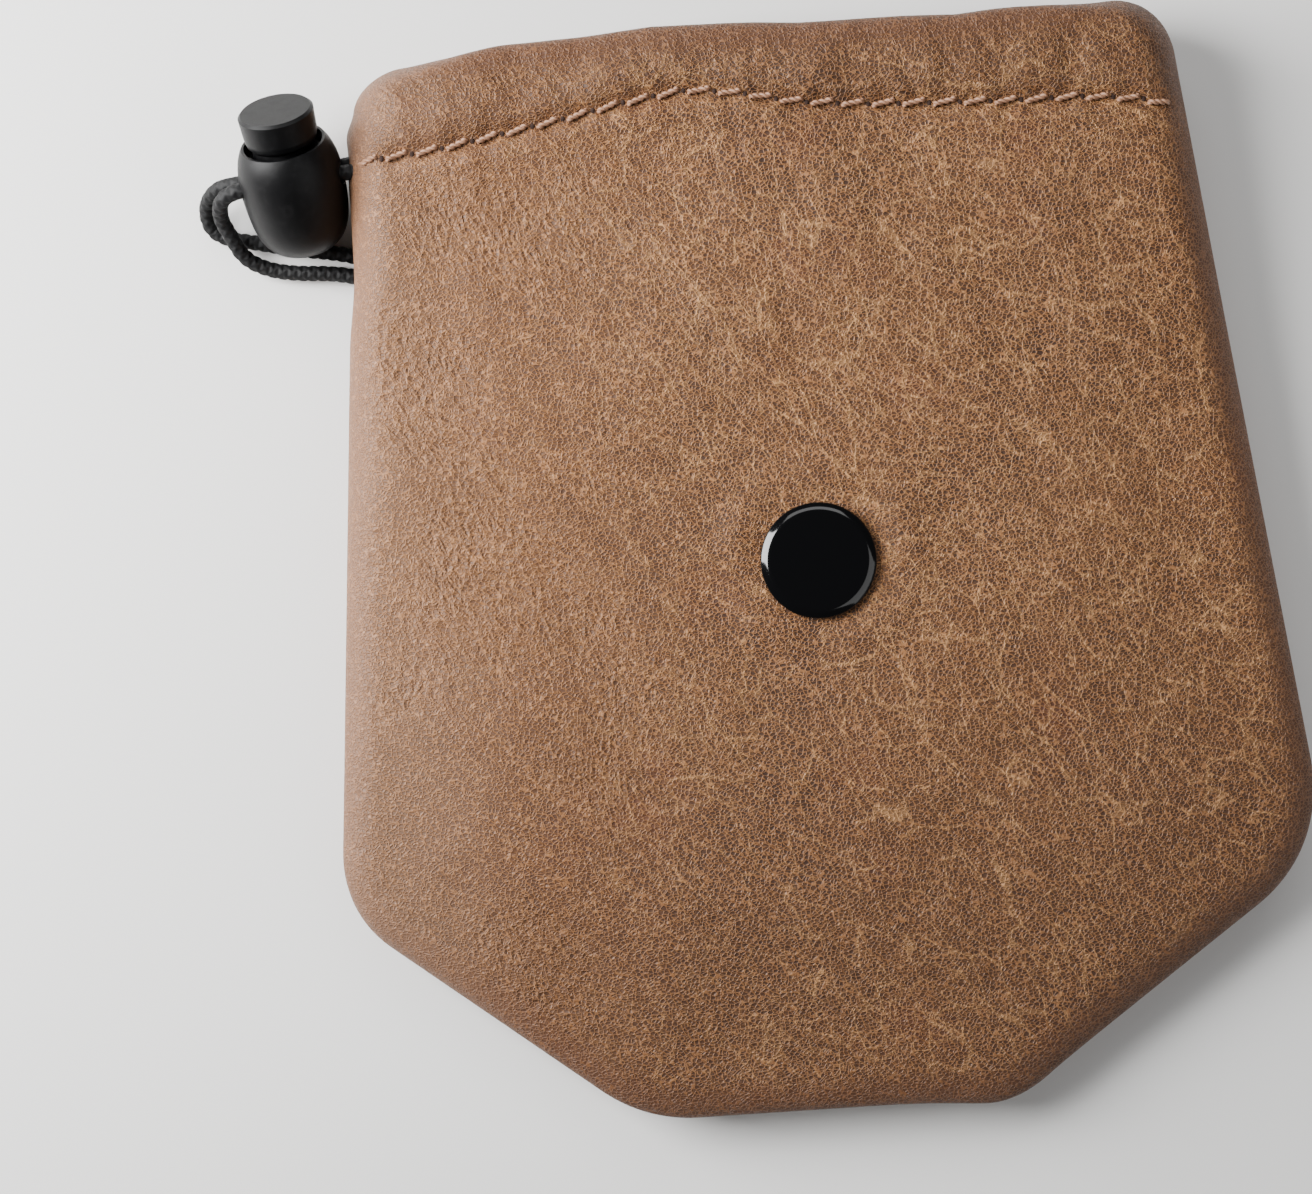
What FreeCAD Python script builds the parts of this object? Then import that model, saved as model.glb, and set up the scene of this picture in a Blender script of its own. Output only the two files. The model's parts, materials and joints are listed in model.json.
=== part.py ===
import FreeCAD, Part
import math
import os

# Drawstring dice bag lying on its back. Millimetres. +X right, +Y towards the mouth, +Z up.
# The origin is on the surface the bag lies on, under the middle of the press snap.

Vector = FreeCAD.Vector

# ---- leather ----
leather = 1.2              # thickness of the leather
seam_z = 6.2               # height of the side seam above the surface
seam_allowance = 5.0       # width of leather turned in along the seam
seam_top_y = 50.0          # the turned-in leather ends here, under the hem

# ---- outline of the bag, seen from above ----
mouth_width = 105.6
hip_width = 129.3
base_width = 48.9
mouth_y = 69.9
hip_y = -41.7
base_y = -71.5
mouth_shift = -2.9         # middle of the mouth, measured from the snap
hip_shift = -0.25
base_shift = -2.5
left_mouth_radius = 7.0
right_mouth_radius = 11.0
left_hip_radius = 15.0
right_hip_radius = 19.5
left_base_radius = 20.0
right_base_radius = 15.0
edge_round = 4.2           # rounding of the turned edges, all round

# ---- height of the front of the bag, from the base to the mouth ----
base_height = 9.8
hip_height = 11.6
snap_height = 12.6
hem_height = 14.6
mouth_height = 15.0
hem_height_y = 50.0

# ---- hem at the mouth, folded in and stitched to make the drawstring's channel ----
hem_seam_y = 53.0          # the line of stitches that closes the channel
channel_gap = 2.3          # free height of the channel
mouth_gap = 5.2            # free height between the front and the back hem
mouth_left_x = -43.5
mouth_right_x = 38.5

# ---- press snap ----
cap_radius = 7.5
cap_thickness = 1.5
cap_edge = 0.5
post_radius = 1.6
post_hole_clearance = 0.2
front_seat_z = 12.4        # outer face of the leather under the front cap
back_seat_z = 1.5          # outer face of the leather over the back cap
seat_margin = 0.7          # flat leather around a cap
back_seat_slope = 6.0      # width of the slope round the back cap's seat
socket_radius = 5.75
socket_height = 3.0
socket_plate = 0.8
socket_bore = 2.5
rivet_radius = 2.2
rivet_height = 0.3
stud_base = 1.2
knob_radius = 2.15
neck_radius = 1.85
knob_height = 1.7
snap_gap_closed = 0.1      # left between socket and stud base when the snap is closed
snap_wire = 0.5            # diameter of the spring wire in the socket
snap_wire_radius = 2.4     # middle of that wire, from the axis

# ---- drawstring and its cord lock ----
cord_diameter = 2.0
cord_pitch = 2.1           # distance between the two cords in the lock
lock_radius = 6.8
lock_rim_radius = 5.5
lock_foot_radius = 3.2
lock_length = 15.0
lock_elevation = 36.0      # degrees, plunger end up
lock_yaw = 6.0             # degrees, plunger end turned outwards
lock_clearance = 0.75      # between the lock and the side of the bag
lock_floor_clearance = 0.06
lock_hole_y = 53.9
lock_hole_depth = 5.2      # middle of the cord hole below the rim
lock_hole_height = 2.6
lock_hole_width = 5.0
lock_bore = 4.3
lock_recess_radius = 5.15  # the plunger's head sinks into this
lock_recess_depth = 2.0
lock_recess_slope = 1.2    # depth of the cone between the recess and the bore
lock_bore_depth = 12.6
lock_travel = 12.0         # slide of the lock along the straight cords
plunger_running_fit = 0.2
plunger_head_radius = 4.9
plunger_head_height = 4.6
plunger_head_taper = 0.15  # the head's lower end is this much smaller
plunger_neck = 1.2         # height of the curve between the head and the stem
plunger_travel = 3.0
plunger_bridge = 1.5       # below the plunger's slot
plunger_cord_gap = 0.1
spring_wire = 0.4
spring_radius = 3.1
spring_turns = 3.5
spring_end_gap = 0.05

# ---- knot and the hollow that it makes in the back of the bag ----
knot_offset = Vector(26.4, -18.9, 0)      # from the lock's hole to the middle of the knot
knot_length = 8.4
knot_width = 7.7
knot_height = 5.9
hollow_clearance = 0.4
hollow_radius = 50.0

cord_radius = cord_diameter / 2
front_skin_z = front_seat_z - leather
back_skin_z = back_seat_z + leather
mouth_low_z = leather + channel_gap + leather
mouth_high_z = mouth_low_z + mouth_gap
hollow_height = knot_height + hollow_clearance + (lock_travel / 2 + knot_length / 4) ** 2 / (2 * hollow_radius)
tall = 60.0                # beyond the bag on every side
far = 200.0


def corner_points(inset):
    """Corners of the outline, moved in by inset, each with the radius that rounds it."""
    left, right = mouth_shift - mouth_width / 2, mouth_shift + mouth_width / 2
    corners = [
        (left, mouth_y, left_mouth_radius),
        (right, mouth_y, right_mouth_radius),
        (hip_shift + hip_width / 2, hip_y, right_hip_radius),
        (base_shift + base_width / 2, base_y, right_base_radius),
        (base_shift - base_width / 2, base_y, left_base_radius),
        (hip_shift - hip_width / 2, hip_y, left_hip_radius),
    ]
    points = [Vector(x, y, 0) for x, y, _ in corners]
    moved = []
    for i, point in enumerate(points):
        before = (point - points[i - 1]).normalize()
        after = (points[(i + 1) % len(points)] - point).normalize()
        inward_before = Vector(before.y, -before.x, 0)
        inward_after = Vector(after.y, -after.x, 0)
        middle = (inward_before + inward_after).normalize()
        reach = inset / middle.dot(inward_before)
        moved.append((point + middle * reach, max(corners[i][2] - inset, 0.5)))
    return moved


def rounded_outline(inset):
    """Face bounded by the outline's straight sides and its corner arcs."""
    corners = corner_points(inset)
    count = len(corners)
    starts, arcs, ends = [], [], []
    for i, (point, radius) in enumerate(corners):
        before = (corners[i - 1][0] - point).normalize()
        after = (corners[(i + 1) % count][0] - point).normalize()
        half = before.getAngle(after) / 2
        reach = radius / math.tan(half)
        middle = (before + after).normalize()
        start, end = point + before * reach, point + after * reach
        top = point + middle * (radius / math.sin(half) - radius)
        starts.append(start)
        ends.append(end)
        arcs.append(Part.Arc(start, top, end).toShape())
    edges = []
    for i in range(count):
        edges.append(arcs[i])
        edges.append(Part.makeLine(ends[i], starts[(i + 1) % count]))
    return Part.Face(Part.Wire(edges))


def front_height_curve(inset):
    """Height of the front along Y, as one smooth curve lowered by inset."""
    stations = [
        (base_y - 8, base_height - 0.8),
        (base_y, base_height),
        (hip_y, hip_height),
        (0, snap_height),
        (hem_height_y, hem_height),
        (mouth_y, mouth_height),
        (mouth_y + 8, mouth_height),
    ]
    curve = Part.BSplineCurve()
    curve.interpolate([Vector(-far, y, z - inset) for y, z in stations])
    return curve.toShape()


def pouch_form(inset):
    """The bag's outer form moved in by inset: outline and side profile crossed, edges rounded."""
    top = front_height_curve(inset)
    first, last = top.Vertexes[0].Point, top.Vertexes[-1].Point
    low_first, low_last = Vector(-far, first.y, inset), Vector(-far, last.y, inset)
    profile = Part.Wire([top, Part.makeLine(last, low_last), Part.makeLine(low_last, low_first),
                         Part.makeLine(low_first, first)])
    side = Part.Face(profile).extrude(Vector(2 * far, 0, 0))
    plan = rounded_outline(inset)
    plan.translate(Vector(0, 0, -1))
    form = plan.extrude(Vector(0, 0, tall)).common(side).Solids[0]
    rim = [edge for edge in form.Edges if not is_upright(edge)]
    return form.makeFillet(edge_round - inset, rim)


def is_upright(edge):
    first, last = edge.Vertexes[0].Point, edge.Vertexes[-1].Point
    return math.hypot(last.x - first.x, last.y - first.y) < 0.01


def slab(low, high):
    """Box between two corners."""
    size = high - low
    return Part.makeBox(size.x, size.y, size.z, low)


def mouth_block(grow):
    """The mouth between the two hems, grown by the thickness of leather that lines it."""
    low_z, high_z = mouth_low_z - grow, mouth_high_z + grow
    radius = (high_z - low_z) / 2
    start_y = hem_seam_y - leather
    length = mouth_y + tall - start_y
    block = slab(Vector(mouth_left_x + mouth_gap / 2, start_y, low_z),
                 Vector(mouth_right_x - mouth_gap / 2, start_y + length, high_z))
    for x in (mouth_left_x + mouth_gap / 2, mouth_right_x - mouth_gap / 2):
        end = Part.makeCylinder(radius, length, Vector(x, start_y, low_z + radius), Vector(0, 1, 0))
        block = block.fuse(end)
    return block.removeSplitter()


def knot_hollow(grow):
    """Ball whose top makes the hollow over the knot, or its inner side when grown by the leather."""
    middle = hollow_middle()
    radius = hollow_radius + grow
    return Part.makeSphere(radius, Vector(middle.x, middle.y, hollow_height - hollow_radius))


def back_seat(grow):
    """Raised seat in the back of the bag that the back cap lies in."""
    flat = cap_radius + seat_margin + grow
    return Part.makeCone(flat + back_seat_slope, flat, back_seat_z, Vector(0, 0, grow))


def seam_flange():
    """Leather turned in along both sides and the base, over and under the seam."""
    ring = rounded_outline(leather / 2).cut(rounded_outline(leather + seam_allowance))
    ring.translate(Vector(0, 0, seam_z - leather))
    return ring.extrude(Vector(0, 0, 2 * leather)).common(
        slab(Vector(-far, -far, 0), Vector(far, seam_top_y, tall)))


def hollow_inside():
    """All the air inside the leather: pocket, drawstring channel and mouth."""
    inner = pouch_form(leather)
    below_hem = slab(Vector(-far, -far, -tall), Vector(far, hem_seam_y - leather / 2, tall))
    above_hem = slab(Vector(-far, hem_seam_y + leather / 2, -tall), Vector(far, far, tall))
    front_seat = Part.makeCylinder(cap_radius + seat_margin, tall, Vector(0, 0, front_skin_z))
    pocket = inner.common(below_hem).cut(seam_flange()).cut(back_seat(leather)).cut(front_seat)
    channel = inner.common(above_hem).cut(mouth_block(leather))
    hollow = knot_hollow(leather)
    return pocket.cut(hollow), channel.cut(hollow), mouth_block(0)


def leather_bag():
    """Both panels in one: the outer form less the air, the seats and the cords' way out."""
    bag = pouch_form(0).cut(knot_hollow(0)).cut(back_seat(0))
    above_seat = Part.makeCylinder(cap_radius + seat_margin, tall, Vector(0, 0, front_seat_z))
    bag = bag.cut(above_seat)
    for air in hollow_inside():
        bag = bag.cut(air)
    post = Part.makeCylinder(post_radius + post_hole_clearance, tall)
    return bag.cut(post).cut(cord_exit())


def back_zone():
    """Below the seam, and inside the turned-in leather also the top of the hollow."""
    below = slab(Vector(-far, -far, -tall), Vector(far, far, seam_z))
    inside = rounded_outline(leather + seam_allowance).extrude(Vector(0, 0, tall))
    return below.fuse(inside.common(knot_hollow(1.5 * leather)))


def front_panel(bag):
    return bag.cut(back_zone())


def back_panel(bag):
    return bag.common(back_zone())


# ---- press snap ----

def snap_front_cap():
    """Domed-edge cap with its post, clinched under the socket's plate."""
    cap = Part.makeCylinder(cap_radius, cap_thickness, Vector(0, 0, front_seat_z))
    top = [edge for edge in cap.Edges if edge.BoundBox.ZMin > front_seat_z + cap_thickness - 0.01]
    cap = cap.makeFillet(cap_edge, top)
    plate_low = front_skin_z - socket_plate
    post = Part.makeCylinder(post_radius, front_seat_z - plate_low, Vector(0, 0, plate_low))
    rivet = Part.makeCylinder(rivet_radius, rivet_height, Vector(0, 0, plate_low - rivet_height))
    return cap.fuse([post, rivet]).removeSplitter()


def snap_socket():
    """Ring that grips the stud, with a groove for its spring."""
    low = front_skin_z - socket_height
    body = Part.makeCylinder(socket_radius, socket_height, Vector(0, 0, low))
    body = body.makeFillet(0.5, [edge for edge in body.Edges if edge.BoundBox.ZMax < low + 0.01])
    bore = Part.makeCylinder(socket_bore, socket_height - socket_plate, Vector(0, 0, low))
    hole = Part.makeCylinder(post_radius, socket_height, Vector(0, 0, low))
    groove_z = low + snap_wire
    groove = Part.makeCylinder(snap_wire_radius + snap_wire, 1.4 * snap_wire, Vector(0, 0, groove_z))
    return body.cut(bore).cut(hole).cut(groove)


def snap_spring():
    """Open ring of wire in the socket's groove."""
    middle_z = front_skin_z - socket_height + 1.7 * snap_wire
    opening = 50
    ring = Part.makeTorus(snap_wire_radius, snap_wire / 2, Vector(0, 0, middle_z), Vector(0, 0, 1),
                          0, 360, 360 - opening)
    return ring


def snap_stud():
    """Hollow knob on a round base, clinched over the back cap's post."""
    base_top = back_skin_z + stud_base
    neck = knob_height * 0.4
    outline = [
        Vector(post_radius, 0, back_skin_z),
        Vector(socket_radius, 0, back_skin_z),
        Vector(socket_radius, 0, base_top - 0.3),
        Vector(socket_radius - 0.3, 0, base_top),
        Vector(neck_radius, 0, base_top),
        Vector(neck_radius, 0, base_top + neck),
        Vector(knob_radius, 0, base_top + neck + 0.3),
        Vector(knob_radius, 0, base_top + knob_height - 0.3),
        Vector(knob_radius - 0.3, 0, base_top + knob_height),
        Vector(post_radius, 0, base_top + knob_height),
    ]
    return turned(outline)


def snap_back_cap():
    """Low cap under the back of the bag, with the post that carries the stud."""
    cap = Part.makeCylinder(cap_radius, back_seat_z)
    cap = cap.makeFillet(cap_edge, [edge for edge in cap.Edges if edge.BoundBox.ZMax < 0.01])
    post_top = back_skin_z + stud_base + knob_height - rivet_height
    post = Part.makeCylinder(post_radius, post_top - back_seat_z, Vector(0, 0, back_seat_z))
    return cap.fuse(post).removeSplitter()


def turned(outline):
    """Solid turned about Z from a closed outline in the XZ plane."""
    face = Part.Face(Part.makePolygon(outline + [outline[0]]))
    return face.revolve(Vector(0, 0, 0), Vector(0, 0, 1), 360)


# ---- cord lock, built upright with its rim at Z 0 and its cord hole along X ----

def outline_x(y, side):
    """X of the left (-1) or right (1) side of the bag at a height y between hips and mouth."""
    share = (mouth_y - y) / (mouth_y - hip_y)
    mouth_x = mouth_shift + side * mouth_width / 2
    hip_x = hip_shift + side * hip_width / 2
    return mouth_x + (hip_x - mouth_x) * share


def lock_axis():
    lift, yaw = math.radians(lock_elevation), math.radians(lock_yaw)
    return Vector(-math.sin(yaw) * math.cos(lift), math.cos(yaw) * math.cos(lift), math.sin(lift))


def hole_axis():
    """Along the cords, from the bag outwards."""
    yaw = math.radians(lock_yaw)
    return Vector(-math.cos(yaw), -math.sin(yaw), 0)


def stack_axis():
    """From the lower cord to the upper one."""
    return lock_axis().cross(hole_axis())


def lock_hole_middle():
    """Middle of the cord hole: the lock stands on the surface and beside the bag."""
    lift = math.radians(lock_elevation)
    lowest = max(depth * math.sin(lift) + radius * math.cos(lift) for depth, radius in barrel_curve())
    z = lowest - lock_hole_depth * math.sin(lift) + lock_floor_clearance
    side_x = outline_x(lock_hole_y, -1)
    return Vector(side_x - lock_clearance - lock_radius, lock_hole_y, z)


def barrel_curve():
    """Depth below the rim and radius of the barrel, from the rim to the foot."""
    length = lock_length
    return [(0, lock_rim_radius), (0.08 * length, 0.90 * lock_radius), (0.20 * length, 0.97 * lock_radius),
            (0.38 * length, lock_radius), (0.60 * length, 0.97 * lock_radius), (0.78 * length, 0.90 * lock_radius),
            (0.90 * length, 0.78 * lock_radius), (0.97 * length, 0.63 * lock_radius), (length, lock_foot_radius)]


def placed_in_lock(shape):
    """Turns a shape from the lock's upright pose to where the lock lies."""
    x, z = hole_axis() * -1, lock_axis()
    y = z.cross(x)
    rim = lock_hole_middle() + z * lock_hole_depth
    matrix = FreeCAD.Matrix(x.x, y.x, z.x, rim.x, x.y, y.y, z.y, rim.y, x.z, y.z, z.z, rim.z, 0, 0, 0, 1)
    shape.Placement = FreeCAD.Placement(matrix).multiply(shape.Placement)
    return shape


def long_hole(height, width, length):
    """Flat hole with round ends along X, across the lock's axis."""
    radius = height / 2
    half = width / 2 - radius
    hole = slab(Vector(-length / 2, -half, -radius), Vector(length / 2, half, radius))
    for y in (-half, half):
        hole = hole.fuse(Part.makeCylinder(radius, length, Vector(-length / 2, y, 0), Vector(1, 0, 0)))
    return hole.removeSplitter()


def cord_exit():
    """Slit in the left side of the bag that both cords leave by."""
    slit = long_hole(lock_hole_height, lock_hole_width, 2 * lock_radius)
    slit.translate(Vector(lock_radius * 1.75, 0, -lock_hole_depth))
    keep = slab(Vector(lock_radius, -tall, -tall), Vector(lock_radius + 4 * leather, tall, tall))
    return placed_in_lock(slit.common(keep))


def lock_barrel():
    """Bean-shaped barrel with a stepped bore and the cord hole."""
    points = [Vector(radius, 0, -depth) for depth, radius in barrel_curve()]
    side = Part.BSplineCurve()
    side.interpolate(points)
    foot, rim = Vector(0, 0, -lock_length), Vector(0, 0, 0)
    outline = Part.Wire([side.toShape(), Part.makeLine(points[-1], foot), Part.makeLine(foot, rim),
                         Part.makeLine(rim, points[0])])
    body = Part.Face(outline).revolve(Vector(0, 0, 0), Vector(0, 0, 1), 360)
    recess = Part.makeCylinder(lock_recess_radius, lock_recess_depth, Vector(0, 0, -lock_recess_depth))
    cone_low = lock_recess_depth + lock_recess_slope
    cone = Part.makeCone(lock_bore, lock_recess_radius, lock_recess_slope, Vector(0, 0, -cone_low))
    bore = Part.makeCylinder(lock_bore, lock_bore_depth, Vector(0, 0, -lock_bore_depth))
    hole = long_hole(lock_hole_height, lock_hole_width, 4 * lock_radius)
    hole.translate(Vector(0, 0, -lock_hole_depth))
    return placed_in_lock(body.cut(bore).cut(recess.fuse(cone)).cut(hole))


def lock_plunger():
    """Button with a tapered head and a slotted stem that pinches the cords."""
    stem_radius = lock_bore - plunger_running_fit
    slot_low = lock_hole_depth + cord_radius + plunger_cord_gap
    slot_high = lock_hole_depth - cord_radius - plunger_cord_gap - plunger_travel
    stem_low = slot_low + plunger_bridge
    head_round = 0.35
    head_low = plunger_head_radius - plunger_head_taper
    outline = [
        Vector(0, 0, plunger_head_height),
        Vector(plunger_head_radius - head_round, 0, plunger_head_height),
        Vector(plunger_head_radius, 0, plunger_head_height - head_round),
        Vector(head_low, 0, plunger_neck),
        Vector((head_low + stem_radius) / 2 + 0.15, 0, plunger_neck * 0.45),
        Vector(stem_radius, 0, 0),
        Vector(stem_radius, 0, -stem_low),
        Vector(0, 0, -stem_low),
    ]
    body = turned(outline)
    slot = slab(Vector(-tall, -lock_hole_width / 2 - 0.1, -slot_low),
                Vector(tall, lock_hole_width / 2 + 0.1, -slot_high))
    return placed_in_lock(body.cut(slot))


def lock_spring():
    """Round wire spring between the plunger and the bottom of the bore."""
    stem_low = lock_hole_depth + cord_radius + plunger_cord_gap + plunger_bridge
    height = lock_bore_depth - stem_low - spring_wire - spring_end_gap
    helix = Part.makeHelix(height / spring_turns, height, spring_radius)
    wire = Part.Wire(Part.makeCircle(spring_wire / 2, Vector(spring_radius, 0, 0), Vector(0, 1, 0)))
    coil = Part.Wire(helix).makePipeShell([wire], True, True)
    coil.translate(Vector(0, 0, spring_wire / 2 - lock_bore_depth))
    return placed_in_lock(coil)


# ---- drawstring, its two tails and their knot ----

def cord_tube(name, route):
    """Tube along straight runs joined by tangent arcs, each as large as its two runs allow."""
    edges, radii = [], []
    start = route[0]
    for before, corner, after in zip(route, route[1:], route[2:]):
        back, on = (before - corner).normalize(), (after - corner).normalize()
        half = back.getAngle(on) / 2
        reach = 0.45 * min((before - corner).Length, (after - corner).Length)
        radius = reach * math.tan(half)
        first, last = corner + back * reach, corner + on * reach
        middle = corner + (back + on).normalize() * (radius / math.sin(half) - radius)
        edges += [Part.LineSegment(start, first).toShape(), Part.Arc(first, middle, last).toShape()]
        radii.append(radius)
        start = last
    edges.append(Part.LineSegment(start, route[-1]).toShape())
    path = Part.Wire(edges)
    end = Part.Wire(Part.makeCircle(cord_radius, route[0], route[1] - route[0]))
    tube = path.makePipeShell([end], True, False)
    share = tube.Volume / (math.pi * cord_radius ** 2 * path.Length)
    print(name, "length", round(path.Length, 1), "arc radii", [round(radius, 1) for radius in radii],
          "volume over section times length", round(share, 4))
    return tube


def cord_start(side):
    """Where a cord leaves the bag: side is 1 for the upper cord and -1 for the lower one."""
    reach = lock_radius + lock_clearance + leather / 2
    return lock_hole_middle() - hole_axis() * reach + stack_axis() * (side * cord_pitch / 2)


def drawstring():
    """One cord through the whole hem: in at the left, along the front, round, and back."""
    front_z = mouth_high_z + leather + cord_radius + 0.2
    back_z = leather + cord_radius + 0.15
    right_x = mouth_right_x + 8.7
    start, end = cord_start(1), cord_start(-1)
    inwards = hole_axis() * -3.0
    route = [
        start, start + inwards,
        Vector(-48.4, 56.9, front_z), Vector(-39, 59.2, front_z), Vector(-20, 61.8, front_z),
        Vector(4, 62.6, front_z), Vector(26, 61.6, front_z), Vector(right_x - 3.2, 60.6, front_z),
        Vector(right_x, 60.2, front_z - 3.0), Vector(right_x, 60.4, back_z + 3.0),
        Vector(right_x - 3.2, 61.0, back_z), Vector(26, 62.6, back_z), Vector(4, 63.8, back_z),
        Vector(-20, 64.2, back_z), Vector(-39, 63.4, back_z), Vector(-48.2, 60.6, back_z),
        end + inwards, end,
    ]
    return cord_tube("drawstring", route)


def tail_route(side, offsets):
    """A tail's points: straight through the lock, then as it lies, measured from the lock's hole."""
    middle = lock_hole_middle()
    outwards = hole_axis() * (lock_radius + 0.7)
    through = middle + outwards + stack_axis() * (side * cord_pitch / 2)
    ground = Vector(middle.x, middle.y, 0)
    return [cord_start(side), through] + [ground + Vector(*offset) for offset in offsets]


def drawstring_tail_upper():
    """The cord that leaves the lock on the inside of the loop and crosses over the other one."""
    offsets = [
        (-9.5, -2.2, 8.9), (-10.1, -4.1, 5.8), (-9.2, -6.0, 4.3), (-7.9, -9.0, 2.3),
        (-4.8, -10.6, 1.06), (-1.0, -11.3, 1.06), (4.2, -11.6, 1.06), (9.2, -13.0, 1.06),
        (14.2, -15.6, 1.1), (19.0, -18.9, 1.6), (22.9, -20.2, 2.8),
    ]
    return cord_tube("upper tail", tail_route(1, offsets))


def drawstring_tail_lower():
    """The cord that makes the outside of the loop and then passes under the lock's foot."""
    offsets = [
        (-10.3, -0.3, 6.6), (-12.3, -2.0, 3.6), (-12.2, -4.7, 1.5), (-10.2, -6.1, 1.06),
        (-7.0, -6.7, 1.06), (-1.0, -8.1, 1.06), (4.8, -9.0, 1.06), (9.5, -10.4, 1.06),
        (14.6, -12.9, 1.1), (19.8, -16.2, 1.9), (23.2, -18.0, 2.8),
    ]
    return cord_tube("lower tail", tail_route(-1, offsets))


def knot_middle():
    middle = lock_hole_middle() + knot_offset
    return Vector(middle.x, middle.y, knot_height / 2 + 0.05)


def hollow_middle():
    """The hollow leaves room for the knot while the lock slides."""
    return knot_middle() + hole_axis() * (lock_travel / 2)


def tail_knot():
    """Rounded body of the overhand knot that ends both tails."""
    ball = Part.makeSphere(0.5)
    matrix = FreeCAD.Matrix()
    matrix.scale(Vector(knot_length, knot_width, knot_height))
    knot = ball.transformGeometry(matrix)
    knot.translate(knot_middle())
    return knot


def export(name, shape):
    solids = shape.Solids
    solid = solids[0] if len(solids) == 1 else Part.Compound(solids)
    print(name, "solids", len(solids), "valid", solid.isValid(), "volume", round(solid.Volume, 1),
          "box", [round(v, 1) for v in (solid.BoundBox.XMin, solid.BoundBox.YMin, solid.BoundBox.ZMin,
                                        solid.BoundBox.XMax, solid.BoundBox.YMax, solid.BoundBox.ZMax)])
    solid.exportStep("parts/" + name + ".step")


os.makedirs("parts", exist_ok=True)
bag = leather_bag()
export("front_panel", front_panel(bag))
export("back_panel", back_panel(bag))
for build_part in (snap_front_cap, snap_socket, snap_spring, snap_stud, snap_back_cap, lock_barrel,
                   lock_plunger, lock_spring, drawstring, drawstring_tail_upper, drawstring_tail_lower,
                   tail_knot):
    export(build_part.__name__, build_part())
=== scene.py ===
import json
import math
import bpy
import numpy as np
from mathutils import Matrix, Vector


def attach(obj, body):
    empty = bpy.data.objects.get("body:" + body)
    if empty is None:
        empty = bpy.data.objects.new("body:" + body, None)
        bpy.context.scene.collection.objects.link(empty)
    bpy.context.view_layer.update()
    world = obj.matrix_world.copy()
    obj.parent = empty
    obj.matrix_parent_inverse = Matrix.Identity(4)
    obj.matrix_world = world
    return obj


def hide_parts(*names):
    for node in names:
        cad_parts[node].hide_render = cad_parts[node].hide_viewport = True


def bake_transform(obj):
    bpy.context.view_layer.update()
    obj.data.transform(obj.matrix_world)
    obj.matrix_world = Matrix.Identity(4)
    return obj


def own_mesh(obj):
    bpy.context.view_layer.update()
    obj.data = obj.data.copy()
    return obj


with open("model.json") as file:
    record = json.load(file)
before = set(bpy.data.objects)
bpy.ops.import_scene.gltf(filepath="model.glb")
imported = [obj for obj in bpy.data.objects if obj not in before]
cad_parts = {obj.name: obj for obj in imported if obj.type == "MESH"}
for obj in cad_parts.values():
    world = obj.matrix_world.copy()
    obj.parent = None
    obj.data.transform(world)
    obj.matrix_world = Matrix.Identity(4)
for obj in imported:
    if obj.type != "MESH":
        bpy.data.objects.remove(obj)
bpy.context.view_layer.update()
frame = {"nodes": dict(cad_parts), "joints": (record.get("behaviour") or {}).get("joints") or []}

# Sizes and places in millimetres, in the frame of the bag: it lies on its back, mouth towards +Y,
# and the origin is on the floor under the middle of the press snap.
MM = 0.001

MOUTH_Y, HIP_Y, BASE_Y = 69.9, -41.7, -71.5
MOUTH_LEFT_X, MOUTH_RIGHT_X = -55.7, 49.9
HIP_LEFT_X, HIP_RIGHT_X = -64.9, 64.4
BASE_LEFT_X, BASE_RIGHT_X = -26.95, 21.95
CORNERS = [                        # x, y and rounding of each corner, clockwise from the mouth's left
    (MOUTH_LEFT_X, MOUTH_Y, 7.0), (MOUTH_RIGHT_X, MOUTH_Y, 9.0), (HIP_RIGHT_X, HIP_Y, 19.5),
    (BASE_RIGHT_X, BASE_Y, 15.0), (BASE_LEFT_X, BASE_Y, 20.0), (HIP_LEFT_X, HIP_Y, 15.0),
]
LEATHER = 1.2                      # thickness
SEAM_Z = 6.2                       # height of the side seam
SEAM_TUCK = 0.40                   # how far the seam is pulled in
SIDE_ROUND = 5.6                   # rounding of the front along the sides and base
BACK_ROUND = 4.6                   # the same of the back
FRONT_FLAP_Z, BACK_FLAP_Z = 9.9, 4.7    # faces of the turned-in leather, which are the mouth's walls
SEAT_Z, BACK_SEAT_Z = 12.4, 1.5    # leather under the front cap and over the back cap
CAP_RADIUS, CAP_HEIGHT = 7.5, 1.5
CROWN_DROP = 1.5                   # the front slopes this much from its middle to the sides
MOUTH_Z = 15.0                     # top of the front at the mouth
FOLD_Z = {True: (MOUTH_Z + FRONT_FLAP_Z) / 2, False: BACK_FLAP_Z / 2}     # middle of each hem's fold
STITCH_PITCH = 3.9
STITCH_START = -54.3               # middle of the first stitch

JOINTS = {joint["name"]: joint for joint in frame["joints"]}

# The lock's cord hole, and the directions of its plunger, of the cords and from the lower to the upper cord
LOCK_MIDDLE = np.array([-64.57, 53.9, 9.2])
LOCK_AXIS = -np.array(JOINTS["plunger_press"]["axis"], float)
CORD_AXIS = np.array(JOINTS["cord_lock_slide"]["axis"], float)
STACK_AXIS = np.cross(LOCK_AXIS, CORD_AXIS)
CORD = 2.0                         # diameter
CORD_PITCH = 2.1                   # from the lower cord's middle to the upper one's
CORD_INTO_LOCK = 7.9               # from the lock's middle back to where the tails' own cord starts
TO_KNOT = np.array([26.4, -18.9])  # from the lock's middle to the knot under the bag
HALF_SLIDE = 6.0                   # half of the lock's travel
HOLLOW_TOP, HOLLOW_RADIUS = 6.96, 50.0      # hollow of the back over the knot, part of a ball


# ---- camera ----

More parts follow.
